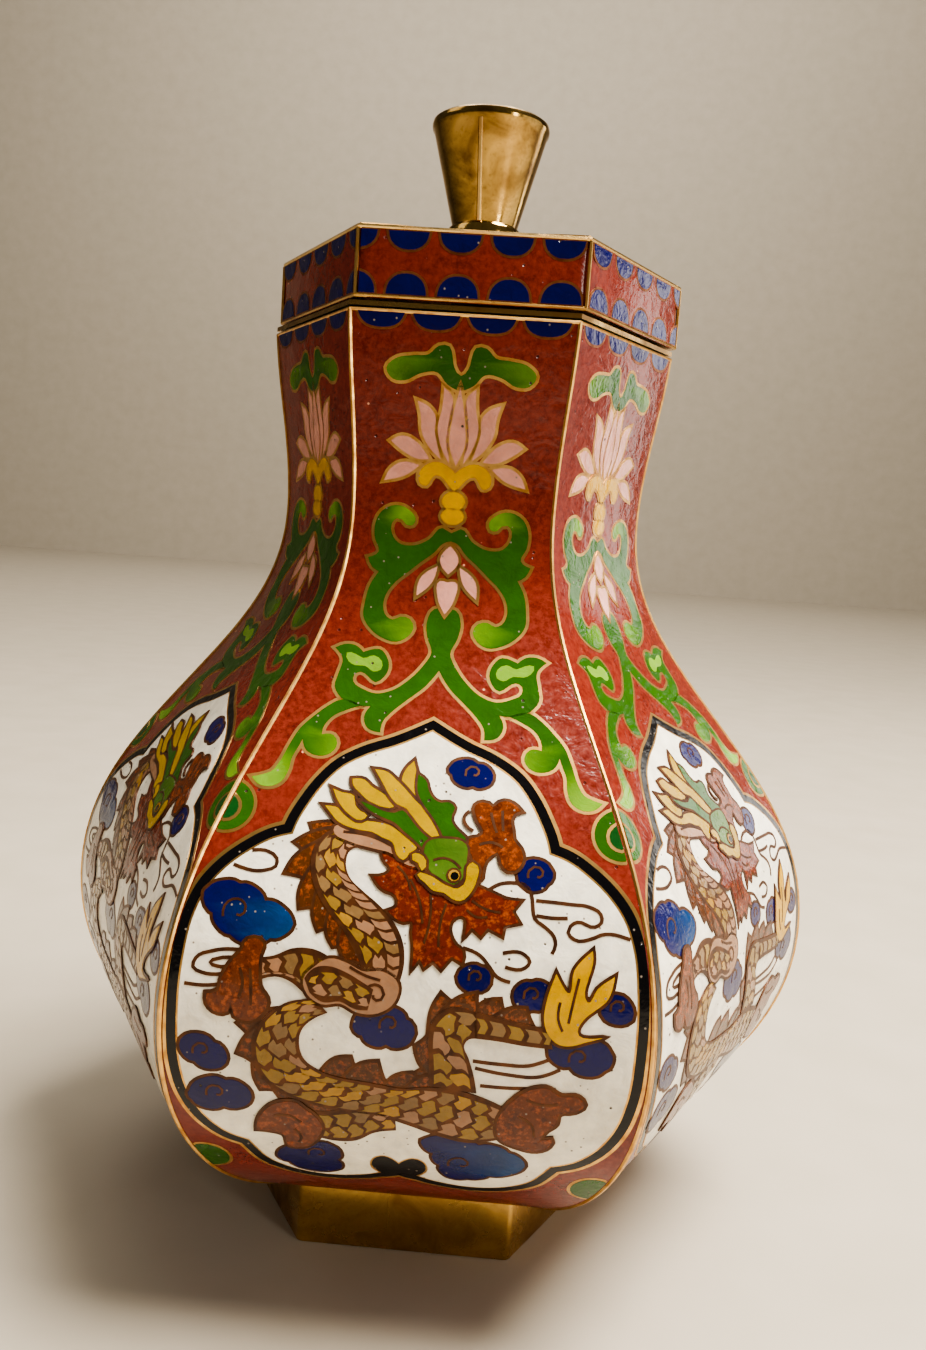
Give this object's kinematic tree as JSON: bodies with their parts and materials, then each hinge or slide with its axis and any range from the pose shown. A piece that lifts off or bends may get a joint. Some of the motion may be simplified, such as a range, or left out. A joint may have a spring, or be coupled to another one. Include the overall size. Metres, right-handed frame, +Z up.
{
  "type": "cloisonne enamel box",
  "caption": "Six-sided enamelled jar with a swelling belly, a brass foot and a lift-off lid with a flared knob; holds small things.",
  "frame": {"origin": "centre of the foot's underside, on the jar's upright axis", "axes": "+Z up through the knob; one flat face looks along -Y, and two corners lie on +X and -X"},
  "size_m": [0.094, 0.0814, 0.1312],
  "materials": {
    "enamel": "gloss",
    "brass": "satin"
  },
  "bodies": {
    "root": {"foot_ring": "brass", "body": "enamel", "mouth_rim": "brass", "lid": "enamel", "knob": "brass"}
  },
  "joints": []
}
